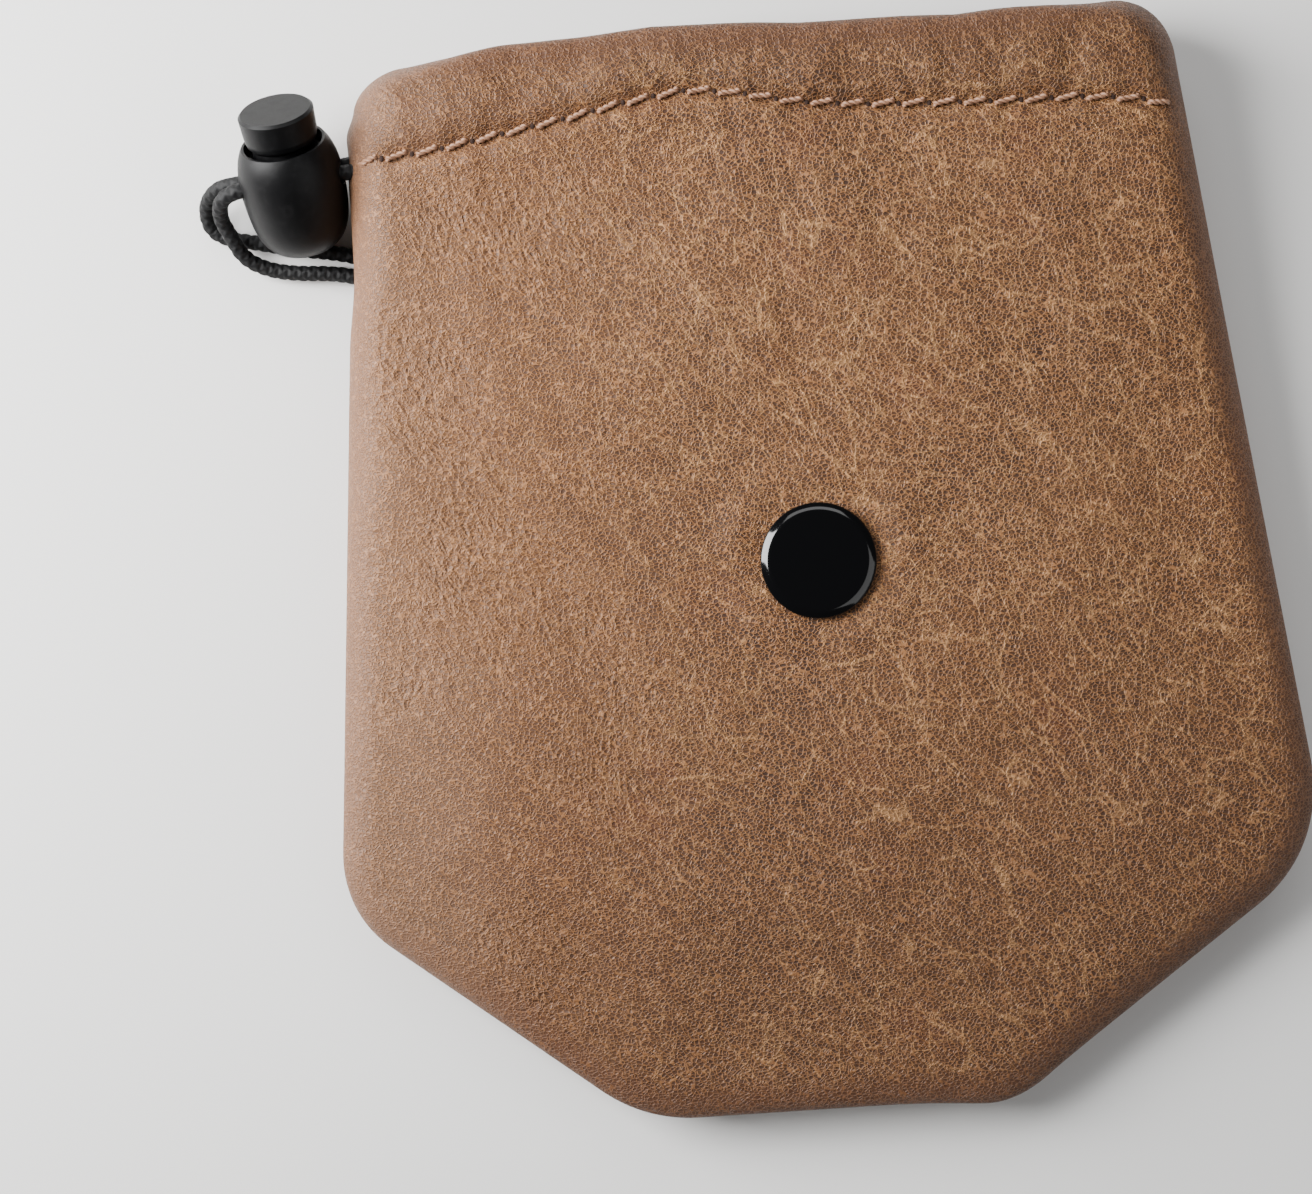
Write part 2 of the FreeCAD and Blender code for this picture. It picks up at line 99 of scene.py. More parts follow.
def camera():
    """Looks straight down from 350 mm, turned so that the mouth leans 3.8 degrees to the left."""
    height, cap_top, picture_width = 350.0, 15.5, 166.7
    data = bpy.data.cameras.new("camera")
    data.sensor_width = 36.0
    data.lens = 36.0 * (height - cap_top) / picture_width
    data.clip_start = 0.01
    thing = bpy.data.objects.new("camera", data)
    thing.location = (-21.1 * MM, -3.3 * MM, height * MM)
    thing.rotation_euler = (0, 0, math.radians(-3.8))
    bpy.context.scene.collection.objects.link(thing)
    bpy.context.scene.camera = thing


# ---- shader maths ----

class Socket:
    """A value in a node tree: Python's operators add Math nodes."""

    def __init__(self, tree, output):
        self.tree, self.output = tree, output

    def _math(self, operation, *values):
        """Adds the Math node of an operation."""
        return self.tree.node("ShaderNodeMath", {"operation": operation}, *values)

    def __add__(self, other): return self._math("ADD", self, other)
    def __radd__(self, other): return self._math("ADD", other, self)
    def __sub__(self, other): return self._math("SUBTRACT", self, other)
    def __rsub__(self, other): return self._math("SUBTRACT", other, self)
    def __mul__(self, other): return self._math("MULTIPLY", self, other)
    def __rmul__(self, other): return self._math("MULTIPLY", other, self)


class Finish:
    """A material whose nodes are added by node(), with one shader whose sockets are set by surface()."""

    def __init__(self, name):
        self.material = bpy.data.materials.new(name)
        self.material.use_nodes = True
        self.nodes = self.material.node_tree.nodes
        self.links = self.material.node_tree.links
        self.shader = self.nodes["Principled BSDF"]
        coordinate = self.nodes.new("ShaderNodeTexCoord")
        self.place = self.node("ShaderNodeVectorMath", {"operation": "SCALE"},
                               Vector=Socket(self, coordinate.outputs["Object"]), Scale=1 / MM)
        self.uv = Socket(self, coordinate.outputs["UV"])

    def join(self, socket, value):
        """Links a value to a socket, or sets it there; a colour gets its fourth number."""
        if isinstance(value, Socket):
            self.links.new(value.output, socket)
        elif socket.type == "RGBA":
            socket.default_value = (*value[:3], 1)
        else:
            socket.default_value = value

    def node(self, kind, settings=None, *values, **named):
        """Adds a node, makes its settings, and gives its sockets values or links.

        The setting "output" is the number of the output that comes back, the first one if there is none.
        """
        made = self.nodes.new(kind)
        settings = dict(settings or {})
        output = settings.pop("output", 0)
        for key, value in settings.items():
            setattr(made, key, value)
        for key, value in [*enumerate(values), *named.items()]:
            self.join(made.inputs[key.replace("_", " ") if isinstance(key, str) else key], value)
        return Socket(self, made.outputs[output])

    def surface(self, **sockets):
        """Gives the shader's sockets values or links, and returns the material."""
        for key, value in sockets.items():
            self.join(self.shader.inputs[key.replace("_", " ")], value)
        return self.material

    def noise(self, scale, detail, roughness=0.5, place=None, colour=False):
        """Noise with scale bumps to a millimetre, or three of them as a colour."""
        return self.node("ShaderNodeTexNoise", {"output": 1 if colour else 0}, Vector=place or self.place,
                         Scale=scale, Detail=detail, Roughness=roughness)

    def cells(self, scale, place):
        """Distance to the nearest edge of random cells, scale cells to a millimetre."""
        return self.node("ShaderNodeTexVoronoi", {"feature": "DISTANCE_TO_EDGE"}, Vector=place, Scale=scale)

    def ramp(self, value, low, high):
        """0 below low, 1 above high, smooth between."""
        return self.node("ShaderNodeMapRange", {"interpolation_type": "SMOOTHSTEP"}, Value=value,
                         From_Min=low, From_Max=high)

    def mix(self, share, first, second):
        """Colour between first and second."""
        made = self.nodes.new("ShaderNodeMix")
        made.data_type = "RGBA"
        for place, value in zip((0, 6, 7), (share, first, second)):
            self.join(made.inputs[place], value)
        return Socket(self, made.outputs[2])

    def warp(self, place, scale, amount):
        """The place moved about by noise, amount millimetres."""
        push = self.noise(scale, 2.0, place=place, colour=True)
        centred = self.node("ShaderNodeVectorMath", {"operation": "SUBTRACT"}, push, (0.5, 0.5, 0.5))
        scaled = self.node("ShaderNodeVectorMath", {"operation": "SCALE"}, Vector=centred, Scale=amount)
        return self.node("ShaderNodeVectorMath", {"operation": "ADD"}, place, scaled)

    def stretch(self, place, angle, factors):
        """The place for a pattern that is stretched by the factors along X and Y turned by the angle."""
        return self.node("ShaderNodeMapping", {"vector_type": "TEXTURE"}, Vector=place,
                         Rotation=(0, 0, math.radians(angle)), Scale=factors)

    def largest(self, first, second):
        """The larger of two values."""
        return self.node("ShaderNodeMath", {"operation": "MAXIMUM"}, first, second)

    def coordinate(self, place, axis):
        """One coordinate of a place or of the UV map."""
        return self.node("ShaderNodeSeparateXYZ", {"output": "XYZ".index(axis)}, place)

    def bump(self, height, distance, strength=1.0):
        """Normal of a height, of which 1 is distance millimetres."""
        return self.node("ShaderNodeBump", Height=height, Distance=distance * MM, Strength=strength)


def srgb(*values):
    """Linear colour of an sRGB one given from 0 to 255."""
    scaled = [value / 255 for value in values]
    return tuple(v / 12.92 if v <= 0.04045 else ((v + 0.055) / 1.055) ** 2.4 for v in scaled)


def tan_leather():
    """Aged tan leather: pale ridges round dark pits, creases that flow diagonally, folds and worn patches,
    with painted sheen lightening the left side.

    The UV map's u is the distance from the bag's outline, and v the distance below the stitching, both in
    decimetres.
    """
    f = Finish("tan_leather")

    # Where each thing shows: along the outline, above the hem's stitches, and towards each side of the bag,
    # whose left side also gets painted sheen
    x, y = f.coordinate(f.place, "X"), f.coordinate(f.place, "Y")
    below_hem = f.coordinate(f.uv, "Y") * 100.0
    margin = 1.0 - f.ramp(f.coordinate(f.uv, "X") * 100.0, 1.5, 6.0)
    rimward = 1.0 - f.ramp(below_hem, -3.0, 3.0)
    lumpy = 1.0 - f.ramp(below_hem, 8.0, 60.0)
    southward = 1.0 - f.ramp(y, -66.0, 20.0)
    # Share of the painted sheen along the left edge
    painted_sheen_left = 1.0 - f.ramp(x, -62.0, -36.0)
    eastward = f.ramp(x + 40.0 * f.noise(0.03, 2.0, 0.5), -30.0, 14.0)
    broken = f.ramp(f.noise(0.24, 3.0, 0.6), 0.40, 0.62)
    here = f.ramp(f.noise(0.045, 2.0, 0.5), 0.38, 0.58)
    along_70 = f.stretch(f.place, 70, (1.0, 1.0, 2.0))
    there = f.ramp(f.noise(0.038, 2.0, 0.5, place=along_70), 0.40, 0.60)

    # Net of fine ridges, larger pebbles, and crease lines of three sizes, all on places that flow
    flow = f.warp(f.place, 0.030, 18.0)
    flow = f.warp(flow, 0.13, 2.2)
    wobbly = f.warp(flow, 0.8, 0.22)
    fine = f.stretch(f.warp(f.place, 1.3, 0.30), 8, (1.3, 1.0, 1.0))
    net = 1.0 - f.ramp(f.cells(2.3, fine), 0.01, 0.20)
    large = f.stretch(f.warp(flow, 0.9, 0.16), -54, (1.6, 0.9, 1.0))
    pebbles = f.ramp(f.cells(0.80, large), 0.0, 0.36)
    long_net = f.cells(0.33, f.stretch(wobbly, -56, (2.9, 0.90, 1.0)))
    short_net = f.cells(0.72, f.stretch(wobbly, -48, (1.35, 0.95, 1.0)))
    cross_net = f.cells(0.42, f.stretch(wobbly, -12, (1.4, 0.95, 1.0)))
    long_lines = (1.0 - f.ramp(long_net, 0.0, 0.046)) * (0.55 + 0.45 * broken) * (0.60 + 0.40 * here)
    short_lines = (1.0 - f.ramp(short_net, 0.0, 0.060)) * (0.15 + 0.50 * here) * broken
    cross_lines = (1.0 - f.ramp(cross_net, 0.0, 0.045)) * (0.20 + 0.80 * broken) * there
    lines = f.largest(f.largest(long_lines, cross_lines), short_lines) * (0.20 + 0.80 * eastward)
    lines = lines * (1.0 - 0.9 * margin) * (0.45 + 0.55 * net)
    pebbly = f.ramp(f.noise(0.06, 2.0, 0.5), 0.36, 0.58) * (1.0 - 0.7 * margin) * (1.0 - 0.75 * eastward)

    # Colour, from the pits up
    speckle = f.noise(1.1, 3.0, 0.65)
    mottle = f.noise(0.30, 3.0, 0.6, place=f.stretch(flow, -50, (2.0, 1.0, 1.0)))
    patches = f.ramp(f.noise(0.05, 4.0, 0.55), 0.30, 0.72)
    reddish = f.ramp(f.noise(0.06, 3.0, 0.6, place=f.stretch(f.place, 0, (1.0, 1.0, 0.5))), 0.54, 0.74)
    base = f.mix(patches, srgb(47, 24, 8), srgb(64, 36, 15))
    # Painted sheen: the colour gets lighter towards the left, where the window's light falls
    base = f.mix(0.40 - 0.40 * eastward, base, srgb(112, 74, 50))
    base = f.mix(reddish * 0.5, base, srgb(86, 40, 24))
    base = f.mix(f.ramp(mottle, 0.32, 0.62), f.mix(0.35, base, srgb(38, 20, 10)), base)
    base = f.mix(f.ramp(speckle, 0.40, 0.68) * 0.25, base, srgb(126, 82, 46))
    base = f.mix(net * 0.84, base, srgb(156, 106, 64))
    base = f.mix((1.0 - pebbles) * pebbly * 0.20, base, srgb(156, 111, 74))
    base = f.mix(lines * 0.84, base, srgb(202, 150, 98))
    base = f.mix(margin * 0.45, base, srgb(108, 68, 44))
    base = f.mix(0.30 * southward + 0.22 * rimward, base, srgb(36, 16, 6))
    # Painted highlight: a pale pink sheen along the left edge
    base = f.mix(0.10 * painted_sheen_left, base, srgb(226, 186, 156))

    # Height, as a share of the bump's 0.26 mm
    lumps = f.noise(0.26, 2.0, 0.55, place=f.stretch(flow, -52, (2.6, 0.9, 1.0)))
    height = (0.40 * net + 0.15 * speckle - 0.7 * pebbles * pebbly + 0.15 * lines + 2.2 * lumps * lumpy
              + 0.7 * mottle)
    rough = 0.52 + 0.16 * f.noise(0.5, 2.0) - 0.08 * net
    return f.surface(Base_Color=base, Roughness=rough, Normal=f.bump(height, 0.26), Specular_IOR_Level=0.45)


def hole_shade_finish():
    """Painted shade inside the stitches' holes: dark brown with a faint grain."""
    f = Finish("stitch_hole_shade")
    grain = f.noise(6.0, 3.0, 0.6)
    dark = srgb(40, 22, 14)
    shade = f.mix(f.noise(0.72, 3.0, 0.6), dark, tuple(1.5 * value + 0.002 for value in dark))
    return f.surface(Base_Color=shade, Roughness=0.84 + 0.12 * grain, Normal=f.bump(grain, 0.01))


# ---- meshes ----

def sheet_faces(rows, columns, closed_u=False):
    """Quads of a grid of rows by columns points, whose columns close on themselves if asked."""
    across = np.arange(columns if closed_u else columns - 1)
    row, column = np.meshgrid(np.arange(rows - 1), across, indexing="ij")
    after = (column + 1) % columns
    corners = (row * columns + column, row * columns + after, (row + 1) * columns + after,
               (row + 1) * columns + column)
    return np.stack(corners, axis=-1).reshape(-1, 4)


def make_piece(name, points, faces, material, uv=None):
    """Mesh object at the origin, from points in millimetres and quads, smooth shaded."""
    mesh = bpy.data.meshes.new(name)
    mesh.from_pydata((np.asarray(points).reshape(-1, 3) * MM).tolist(), [], np.asarray(faces).tolist())
    if uv is not None:
        layer = mesh.uv_layers.new(name="along")
        index = np.empty(len(mesh.loops), np.int32)
        mesh.loops.foreach_get("vertex_index", index)
        layer.data.foreach_set("uv", np.asarray(uv).reshape(-1, 2)[index].astype(np.float32).ravel())
    mesh.validate()
    mesh.polygons.foreach_set("use_smooth", np.ones(len(mesh.polygons), bool))
    mesh.materials.append(material)
    thing = bpy.data.objects.new(name, mesh)
    bpy.context.scene.collection.objects.link(thing)
    return thing


def turned(name, outline, material):
    """Surface turned about Z: (r cos a, r sin a, h) for each (r, h) of the outline, at even angles a."""
    sides = 128
    angle = np.linspace(0, 2 * math.pi, sides, endpoint=False)
    radius, height = outline[:, :1], outline[:, 1:]
    points = np.stack([radius * np.cos(angle), radius * np.sin(angle), height + 0 * angle], axis=-1)
    return make_piece(name, points, sheet_faces(len(outline), sides, True), material)


def rounded(points, radius):
    """Points of a line with each inner corner replaced by a quadratic arc of about that radius."""
    points = [np.array(point, float) for point in points]
    result = [points[0]]
    for before, corner, after in zip(points, points[1:], points[2:]):
        back, on = before - corner, after - corner
        far_back, far_on = np.linalg.norm(back), np.linalg.norm(on)
        reach = min(radius, 0.45 * far_back, 0.45 * far_on)
        start, end = corner + back / far_back * reach, corner + on / far_on * reach
        for t in np.linspace(0, 1, 8):
            result.append((1 - t) ** 2 * start + 2 * t * (1 - t) * corner + t ** 2 * end)
    return np.array(result + [points[-1]])


# ---- the bag's form ----

def smooth(value):
    """0 below 0, 1 above 1, with level ends."""
    value = np.clip(value, 0, 1)
    return value * value * (3 - 2 * value)


def mixed(first, second, share):
    """The first value where share is 0, the second where it is 1, and straight between."""
    return first * (1 - share) + second * share


def swell(x, y, size, seed):
    """Smooth random height: a random number from -1 to 1 at each corner of a net of squares of that size.

    Between the four corners round a place the height is mixed across and along by smooth().
    """
    table = np.random.default_rng(seed).uniform(-1, 1, (64, 64))
    u, v = x / size + 32.37, y / size + 32.61
    column, row = np.floor(u).astype(int), np.floor(v).astype(int)
    across, along = smooth(u - column), smooth(v - row)
    corner = [[table[(row + b) % 64, (column + a) % 64] for a in (0, 1)] for b in (0, 1)]
    low = mixed(corner[0][0], corner[0][1], across)
    return mixed(low, mixed(corner[1][0], corner[1][1], across), along)


def edge_lines():
    """Each side of the outline: its first corner, its direction and its inward normal."""
    corners = np.array([corner[:2] for corner in CORNERS])
    along = np.roll(corners, -1, axis=0) - corners
    along /= np.linalg.norm(along, axis=1, keepdims=True)
    return corners, along, np.stack([along[:, 1], -along[:, 0]], axis=1)


def corner_arcs():
    """Middle and radius of each corner's rounding, and the directions of the sides that meet there.

    The middle is on the line that halves the corner, radius away from both sides.
    """
    _, along, inward = edge_lines()
    arcs = []
    for i, (x, y, radius) in enumerate(CORNERS):
        both = inward[i - 1] + inward[i]
        middle = np.array([x, y]) + both * radius / (1 + inward[i - 1] @ inward[i])
        arcs.append((middle, radius, along[i - 1], along[i]))
    return arcs


def inside(x, y):
    """Distance of each place from the outline, and the inward direction there.

    It is the distance to the nearest side, or, where a place faces a corner's rounding, the radius less the
    distance from the rounding's middle.
    """
    corners, _, inward = edge_lines()
    far = np.stack([(x - cx) * nx + (y - cy) * ny for (cx, cy), (nx, ny) in zip(corners, inward)])
    nearest = far.argmin(axis=0)
    distance = far.min(axis=0)
    direction = inward[nearest]
    for middle, radius, before, after in corner_arcs():
        dx, dy = x - middle[0], y - middle[1]
        wedge = (dx * before[0] + dy * before[1] > 0) & (dx * after[0] + dy * after[1] < 0)
        reach = np.hypot(dx, dy)
        distance = np.where(wedge, radius - reach, distance)
        turn = -np.stack([dx, dy], axis=-1) / np.maximum(reach, 1e-6)[..., None]
        direction = np.where(wedge[..., None], turn, direction)
    return distance, direction


def outline_x(y, side):
    """X of the rounded outline at each y, on the left (-1) or on the right (1).

    It follows the straight sides, and where a corner's rounding touches them, x of the middle plus or minus
    the square root of radius squared less the rise above the middle squared.
    """
    corners = [(x, py) for x, py, _ in CORNERS]
    ring = [corners[1], corners[2], corners[3]] if side > 0 else [corners[0], corners[5], corners[4]]
    result = np.interp(y, [p[1] for p in reversed(ring)], [p[0] for p in reversed(ring)])
    for middle, radius, before, after in corner_arcs():
        if (middle[0] > 0) != (side > 0):
            continue
        rise = y - middle[1]
        arc = middle[0] + side * np.sqrt(np.maximum(radius ** 2 - rise ** 2, 0))
        normals = np.array([[-before[1], before[0]], [-after[1], after[0]]]) * radius
        touched = np.sort(middle[1] + normals[:, 1])
        result = np.where((y >= touched[0]) & (y <= touched[1]), arc, result)
    return result


def crown_height(y):
    """Height of the front's middle, from the base to the mouth."""
    return np.interp(y, [BASE_Y, HIP_Y, 0.0, 50.0, MOUTH_Y], [9.8, 11.6, 12.6, 14.6, MOUTH_Z])


def hem_line(x):
    """Y of the hem's stitching: an arch that peaks left of the middle, softened by a bell 7 mm wide."""
    places = [-57, -45, -37, -29, -21.5, -13, -6, 0, 9, 27, 37, 45, 51]
    heights = [54.4, 55.5, 56.9, 58.3, 59.8, 61.0, 60.0, 58.6, 57.7, 56.9, 56.9, 56.1, 54.4]
    wide = np.linspace(-66, 60, 253)
    line = np.interp(wide, places, heights)
    kernel = np.hanning(15)
    line = np.convolve(np.pad(line, 7, mode="edge"), kernel / kernel.sum(), mode="valid")
    return np.interp(x, wide, line)


def mouthness(x, y):
    """1 on the open mouth, 0 on the sewn sides; rises from 2 to 14 mm off the sides and from y 52 to 63."""
    left, right = outline_x(y, -1), outline_x(y, 1)
    return smooth((np.minimum(x - left, right - x) - 2) / 12) * smooth((y - 52) / 11)


def rows_up():
    """Heights of the rows from the base to the mouth, closer along the edges and at the hem."""
    turn = np.linspace(0, math.pi / 2, 15)[:-1]
    base = BASE_Y + SIDE_ROUND * (1 - np.cos(turn))
    top = MOUTH_Y - 2.6 * (1 - np.cos(turn))
    low = np.arange(base[-1] + 0.8, 52.0, 0.83)
    hem = np.arange(52.2, top[-1] - 0.3, 0.42)
    return np.concatenate([base, low, hem, top[::-1]])


def columns_across():
    """Shares across a row, closer along both edges."""
    turn = np.linspace(0, math.pi / 2, 14)[:-1]
    edge = 0.045 * (1 - np.cos(turn))
    middle = np.linspace(0.0515, 0.9485, 141)
    return np.concatenate([edge, middle, 1 - edge[::-1]])


def panel_height(front, x, y):
    """Height of a panel's outer face.

    It rises from the seam as a quarter of an ellipse over the edge rounding and then follows the crown,
    with folds, dents and the stitches' furrow added. Near the mouth the edge lies at the fold's middle
    instead of the seam.
    """
    distance = np.maximum(inside(x, y)[0], 0)
    mouth = mouthness(x, y)
    edge = mixed(SEAM_Z, FOLD_Z[front], mouth)
    rounding = mixed(SIDE_ROUND if front else BACK_ROUND, 2.5, mouth)
    turn = np.sqrt(1 - (1 - np.minimum(distance / rounding, 1)) ** 2)
    if not front:
        return np.maximum(edge * (1 - turn), back_relief(x, y))
    slope = CROWN_DROP * (1 - smooth(distance / 30)) * (1 - smooth((y - 25) / 40))
    crown = crown_height(y) - slope * smooth((np.hypot(x, y) - 8) / 12)
    return edge + (crown - edge) * turn + smooth((distance - 0.5) / 7.0) * front_relief(x, y)


def rim_shift(x):
    """How far the rim of the mouth strays from a straight line, where the gathered hem sags."""
    places = [-56, -49, -43, -36, -27, -17, -8, 2, 15, 22, 28, 36, 42, 50]
    shifts = [-2.6, -2.4, -2.2, -1.5, -1.0, -0.1, -0.3, -1.1, -1.2, -1.5, -1.0, -0.4, 0.2, 0.8]
    return np.interp(x, places, shifts)


def panel_points(front):
    """One leather panel's outer face and UV: rows from the base up, and back down inside the folded hem.

    Across each row x runs from the left outline to the right one. Each point is then moved inward at the
    seam by a bell of its height over the seam, outward or inward along the left side by three bells of y,
    out a little at the base's right end, and up or down near the rim by the rim's wave.
    """
    share = columns_across()
    y = np.repeat(rows_up()[:, None], len(share), axis=1)
    left, right = outline_x(y, -1), outline_x(y, 1)
    x = left + (right - left) * share
    z = panel_height(front, x, y)
    mouth = mouthness(x, y)
    distance, inward = inside(x, y)
    tuck = SEAM_TUCK * np.exp(-((z - mixed(SEAM_Z, FOLD_Z[front], mouth)) / 0.9) ** 2) * (1 - mouth)
    tuck *= 1 - smooth((-32 - y) / 12)
    to_left = np.exp(-((x - left) / 9) ** 2)
    bulge = to_left * (0.45 * smooth(1 - np.abs(y - 40) / 9) - 0.7 * np.exp(-((y - 59.2) / 2.6) ** 2)
                       - 0.45 * np.exp(-((y - 54) / 4) ** 2))
    sliver = 0.7 * np.exp(-((x - 20) / 8) ** 2) * np.exp(-(y - BASE_Y) / 4)
    rim = smooth((y - 57) / 12)
    wave = rim * (rim_shift(x) + 0.35 * swell(x, 0 * x, 7.0, 5) - (0 if front else 0.6))
    outer = np.stack([x + inward[..., 0] * tuck + bulge, y + inward[..., 1] * tuck - sliver + wave, z],
                     axis=-1)
    uv = np.stack([np.maximum(distance, 0), hem_line(x) - y], axis=-1) / 100
    hidden = turned_in(front, outer[-1], wave[-1])
    return np.concatenate([outer, hidden]), np.concatenate([uv, np.repeat(uv[-1:], len(hidden), axis=0)])


def turned_in(front, last, wave):
    """Rows of the hem's inner layer, from the rim's row back down to just past the stitches.

    The fold is a quarter of an ellipse 2.4 mm high, from the rim's height to the mouth's wall. At both ends
    of the mouth the wall's height gives way to the seam's.
    """
    fold = 2.4
    turn = np.linspace(0, math.pi / 2, 7)[1:]
    depths = np.concatenate([fold * (1 - np.cos(turn)), np.arange(3.5, 16.5, 0.9)])
    rows = []
    for down in depths:
        y = MOUTH_Y - down
        inset = 1.6 * smooth(down / 3)
        left, right = outline_x(y, -1) + inset, outline_x(y, 1) - inset
        x = np.clip(last[:, 0], left, right)
        across = smooth(np.minimum(x - left, right - x) / 12)
        level = mixed(SEAM_Z, FRONT_FLAP_Z if front else BACK_FLAP_Z, across)
        level = (np.minimum if front else np.maximum)(level, last[:, 2])
        bend = math.sqrt(max(1 - (1 - min(down / fold, 1)) ** 2, 0))
        rows.append(np.stack([x, y + wave * (1 - 0.06 * down), mixed(last[:, 2], level, bend)], axis=-1))
    return np.array(rows)


def front_relief(x, y):
    """Dents, folds, the furrow and puckers of the stitching, and the flat seat of the press snap.

    Dents, folds and gathers are swells of several sizes. The furrow, the casing's two ridges, the puckers
    and the sags below the stitches are bells or fading steps of the distance below the stitching. Round the
    snap all of it fades to the seat's height within 14 mm, with a ring of leather pushed up at 11 mm.
    """
    line = hem_line(x)
    below = line - y
    dents = 0.60 * swell(x, y, 27, 11) + 0.28 * swell(x + 0.5 * y, y, 11, 12)
    dents += 0.16 * smooth((y + 30) / 60) * swell(x + 0.35 * y, 0.35 * y, 5.5, 13)
    fold = 0.10 * swell(x + 0.9 * y, 0.4 * (y - x), 2.6, 14) * smooth(0.5 + 0.9 * swell(x, y, 31, 15))
    holes = 0.5 - 0.5 * np.cos(2 * math.pi * (x - STITCH_START) / STITCH_PITCH)
    furrow = -(0.62 + 0.25 * (1 - holes)) * np.exp(-(below / 1.1) ** 2)
    casing = 0.40 * np.exp(-((y - line - 4.0) / 3.0) ** 2) + 0.15 * np.exp(-((below - 2.6) / 1.6) ** 2)
    pucker = 0.15 * holes * np.exp(-(np.abs(below) - 1.2) ** 2 / 6)
    gathers = smooth((y - line) / 5)
    gathers = gathers * (0.65 * swell(x, 0.25 * y, 6.5, 16) + 0.22 * swell(x, 0.2 * y, 2.7, 18))
    sag = 0.75 * smooth((below - 2) / 10) * np.exp(-np.maximum(below - 2, 0) / 24)
    sag = sag * swell(x, 0.12 * y, 10, 17)
    radius = np.hypot(x, y)
    relief = dents + fold + furrow + casing + pucker + gathers + sag
    ring = 0.30 * np.exp(-((radius - 11.2) / 2.3) ** 2) * (1 + 0.5 * np.sin(5 * np.arctan2(y, x) + 0.6))
    calm = smooth((radius - 8.2) / 5.5)
    return relief * calm + ring * smooth((radius - 7.9) / 1.6) + (SEAT_Z - crown_height(y)) * (1 - calm)


def back_relief(x, y):
    """The back's rise over the cap of the snap, and its hollow over the knot, a part of a ball.

    The hollow's middle is over the middle of the knot's travel.
    """
    radius = np.hypot(x, y)
    seat = BACK_SEAT_Z * (1 - smooth((radius - CAP_RADIUS - 0.6) / 6.0))
    middle = LOCK_MIDDLE[:2] + TO_KNOT + CORD_AXIS[:2] * HALF_SLIDE
    from_knot = np.hypot(x - middle[0], y - middle[1])
    ball = np.sqrt(np.maximum(HOLLOW_RADIUS ** 2 - from_knot ** 2, 0))
    return np.maximum(seat, np.maximum(HOLLOW_TOP - HOLLOW_RADIUS + ball, 0))


def leather_panel(name, front, material):
    """One panel with its hem, thickened inward from its outer face."""
    points, uv = panel_points(front)
    rows, columns = points.shape[:2]
    faces = sheet_faces(rows, columns)
    piece = make_piece(name, points, faces if front else faces[:, ::-1], material, uv)
    wall = piece.modifiers.new("thickness", "SOLIDIFY")
    wall.thickness = LEATHER * MM
    wall.offset = -1
    wall.use_even_offset = False
    return piece


# ---- stitches ----

def thread_stitches(name, front, material, hole_shade_material):
    """Two-ply stitches along the hem, slanted and twisted, whose ends dive into holes.

    Each stitch runs straight along the hem's line, turned by its slant, on an arch over the leather that
    falls at both ends. Its plies are tubes that wind round that line and get thinner towards the ends.
    """
    ply_radius, ply_offset, slant = 0.245, 0.17, 0.24
    half = 0.5 * STITCH_PITCH * 0.88
    places = np.arange(STITCH_START, 49.6, STITCH_PITCH)[:, None]
    along = np.linspace(-1, 1, 21)
    ring = np.linspace(0, 2 * math.pi, 8)[:-1]
    slope = (hem_line(places + 1) - hem_line(places - 1)) / 2 + slant
    length = np.hypot(1, slope)
    direction = np.stack([1 / length, slope / length, 0 * slope], axis=-1)
    side = np.stack([-direction[..., 1], direction[..., 0], 0 * slope], axis=-1)
    upward = 1.0 if front else -1.0
    lift = np.array([0, 0, upward])
    wander = 0.10 * np.sin(places * 1.7)
    x = places + along * half * direction[..., 0]
    y = hem_line(places) + wander + along * half * direction[..., 1]
    arch = 0.25 + 0.28 * (1 - np.abs(along) ** 2.5) - 1.6 * np.abs(along) ** 9
    z = panel_height(front, x, y) + upward * arch
    centre = np.stack([x, y, z], axis=-1)
    radius = (ply_radius * (1 - 0.4 * np.abs(along) ** 6))[:, None, None]
    around = np.cos(ring)[:, None] * side[:, :, None] + np.sin(ring)[:, None] * lift
    plies = []
    for ply in range(2):
        twist = (6.6 * along + math.pi * ply + 0.9 * places)[..., None]
        middle = centre + ply_offset * (np.cos(twist) * side + np.sin(twist) * lift)
        plies.append(middle[:, :, None] + radius * around)
    tube_faces = sheet_faces(len(along), len(ring), True)
    faces = repeated(tube_faces, len(along) * len(ring), 2 * len(places))
    stitches = make_piece(name, np.stack(plies), faces if front else faces[:, ::-1], material)

    # Painted shade: dark flattened balls at the holes between the stitches, where the thread dives in
    hole_x = places - STITCH_PITCH / 2
    hole_y = hem_line(hole_x)
    ball, ball_faces = ball_mesh()
    spots = np.stack([hole_x, hole_y, panel_height(front, hole_x, hole_y) + upward * -0.02], axis=-1)
    pits = spots + ball * np.array([0.30, 0.42, 0.20])
    holes = make_piece(name + "_holes", pits, repeated(ball_faces, len(ball), len(places)), hole_shade_material)
    return stitches, holes


def repeated(faces, points, count):
    """The faces of count equal forms, each with that many points, one after the other."""
    return (faces[None] + (np.arange(count) * points)[:, None, None]).reshape(-1, 4)


def ball_mesh():
    """Points of a unit ball, (cos r cos a, cos r sin a, sin r) from its bottom up, and their faces."""
    rise = np.linspace(-1, 1, 7)[:, None] * 0.5 * math.pi
    turn = np.linspace(0, 2 * math.pi, 13)[:-1]
    points = np.stack([np.cos(rise) * np.cos(turn), np.cos(rise) * np.sin(turn), np.sin(rise) + 0 * turn],
                      axis=-1)
    return points.reshape(-1, 3), sheet_faces(7, 12, True)


# ---- cords ----

